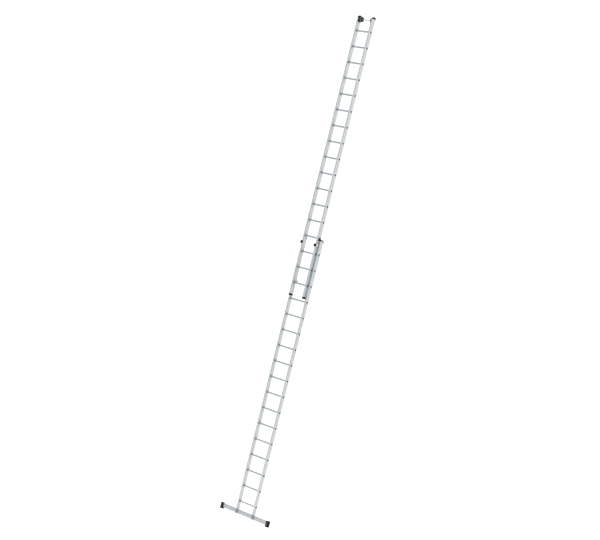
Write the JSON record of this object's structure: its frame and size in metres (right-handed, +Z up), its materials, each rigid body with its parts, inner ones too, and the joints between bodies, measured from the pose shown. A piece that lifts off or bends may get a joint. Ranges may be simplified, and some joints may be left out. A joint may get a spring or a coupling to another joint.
{
  "type": "extension ladder",
  "caption": "Two-section push-up extension ladder with box stiles, wall rollers at the top, rung hooks, guide straps with knobs and a stabiliser bar on rubber feet.",
  "frame": {"origin": "on the floor, under the middle of the whole object's bounding box, ladder standing upright", "axes": "+Z up along the stiles, +X along the rungs to the user's right, +Y from the user towards the wall"},
  "size_m": [1.209, 0.1588, 8.908],
  "materials": {
    "stile_aluminium": "satin mill finish",
    "rung_aluminium": "ribbed mill finish",
    "bar_aluminium": "satin mill finish",
    "shoe_metal": "dull cast finish",
    "strap_zinc": "zinc plated",
    "hook_zinc": "zinc plated",
    "fastener_steel": "zinc plated",
    "axle_steel": "bright zinc plated",
    "black_plastic": "fine grained moulding",
    "plug_plastic": "fine grained moulding",
    "knob_plastic": "fine grained moulding",
    "hub_plastic": "smooth moulding",
    "foot_rubber": "dull ribbed rubber",
    "tyre_rubber": "grey non-marking rubber"
  },
  "bodies": {
    "lower_section": {"lower_stile_left": "stile_aluminium", "lower_stile_right": "stile_aluminium", "lower_rung_01": "rung_aluminium", "lower_rung_02": "rung_aluminium", "lower_rung_03": "rung_aluminium", "lower_rung_04": "rung_aluminium", "lower_rung_05": "rung_aluminium", "lower_rung_06": "rung_aluminium", "lower_rung_07": "rung_aluminium", "lower_rung_08": "rung_aluminium", "lower_rung_09": "rung_aluminium", "lower_rung_10": "rung_aluminium", "lower_rung_11": "rung_aluminium", "lower_rung_12": "rung_aluminium", "lower_rung_13": "rung_aluminium", "lower_rung_14": "rung_aluminium", "lower_rung_15": "rung_aluminium", "lower_rung_16": "rung_aluminium", "lower_rung_17": "rung_aluminium", "lower_rung_plugs": "plug_plastic", "lower_top_caps": "black_plastic", "stabiliser_bar": "bar_aluminium", "stabiliser_feet": "foot_rubber", "stabiliser_shoes": "shoe_metal", "stabiliser_bolts": "fastener_steel", "guide_straps": "strap_zinc", "guide_rivets": "fastener_steel"},
    "upper_section": {"upper_stile_left": "stile_aluminium", "upper_stile_right": "stile_aluminium", "upper_rung_01": "rung_aluminium", "upper_rung_02": "rung_aluminium", "upper_rung_03": "rung_aluminium", "upper_rung_04": "rung_aluminium", "upper_rung_05": "rung_aluminium", "upper_rung_06": "rung_aluminium", "upper_rung_07": "rung_aluminium", "upper_rung_08": "rung_aluminium", "upper_rung_09": "rung_aluminium", "upper_rung_10": "rung_aluminium", "upper_rung_11": "rung_aluminium", "upper_rung_12": "rung_aluminium", "upper_rung_13": "rung_aluminium", "upper_rung_14": "rung_aluminium", "upper_rung_15": "rung_aluminium", "upper_rung_16": "rung_aluminium", "upper_rung_17": "rung_aluminium", "upper_rung_plugs": "plug_plastic", "upper_foot_pads": "foot_rubber", "roller_brackets": "black_plastic", "roller_bracket_bolts": "fastener_steel", "roller_axle": "axle_steel", "hook_pins": "fastener_steel"},
    "roller_left": {"roller_hub_left": "hub_plastic", "roller_tyre_left": "tyre_rubber"},
    "roller_right": {"roller_hub_right": "hub_plastic", "roller_tyre_right": "tyre_rubber"},
    "hook_left": {"rung_hook_left": "hook_zinc"},
    "hook_right": {"rung_hook_right": "hook_zinc"},
    "knob_left": {"guide_knob_left": "knob_plastic"},
    "knob_right": {"guide_knob_right": "knob_plastic"}
  },
  "joints": [
    {"name": "upper_section_slide", "type": "slide", "parent": "lower_section", "child": "upper_section", "axis": [0, 0, 1], "range_m": [-3.92, 0]},
    {"name": "roller_left_spin", "type": "hinge", "parent": "upper_section", "child": "roller_left", "pos_m": [-0.1235, 0.01013, 8.846], "axis": [1, 0, 0], "continuous": true},
    {"name": "roller_right_spin", "type": "hinge", "parent": "upper_section", "child": "roller_right", "pos_m": [0.1235, 0.01013, 8.846], "axis": [1, 0, 0], "continuous": true},
    {"name": "rung_hook_left_pivot", "type": "hinge", "parent": "upper_section", "child": "hook_left", "pos_m": [-0.1472, -0.01558, 4.207], "axis": [1, 0, 0], "range_deg": [0, 60]},
    {"name": "rung_hook_right_pivot", "type": "hinge", "parent": "upper_section", "child": "hook_right", "pos_m": [0.1472, -0.01558, 4.207], "axis": [1, 0, 0], "range_deg": [0, 60]},
    {"name": "guide_knob_left_turn", "type": "hinge", "parent": "lower_section", "child": "knob_left", "pos_m": [-0.163, -0.05912, 4.88], "axis": [0, 1, 0], "continuous": true},
    {"name": "guide_knob_right_turn", "type": "hinge", "parent": "lower_section", "child": "knob_right", "pos_m": [0.163, -0.05912, 4.88], "axis": [0, 1, 0], "continuous": true}
  ]
}
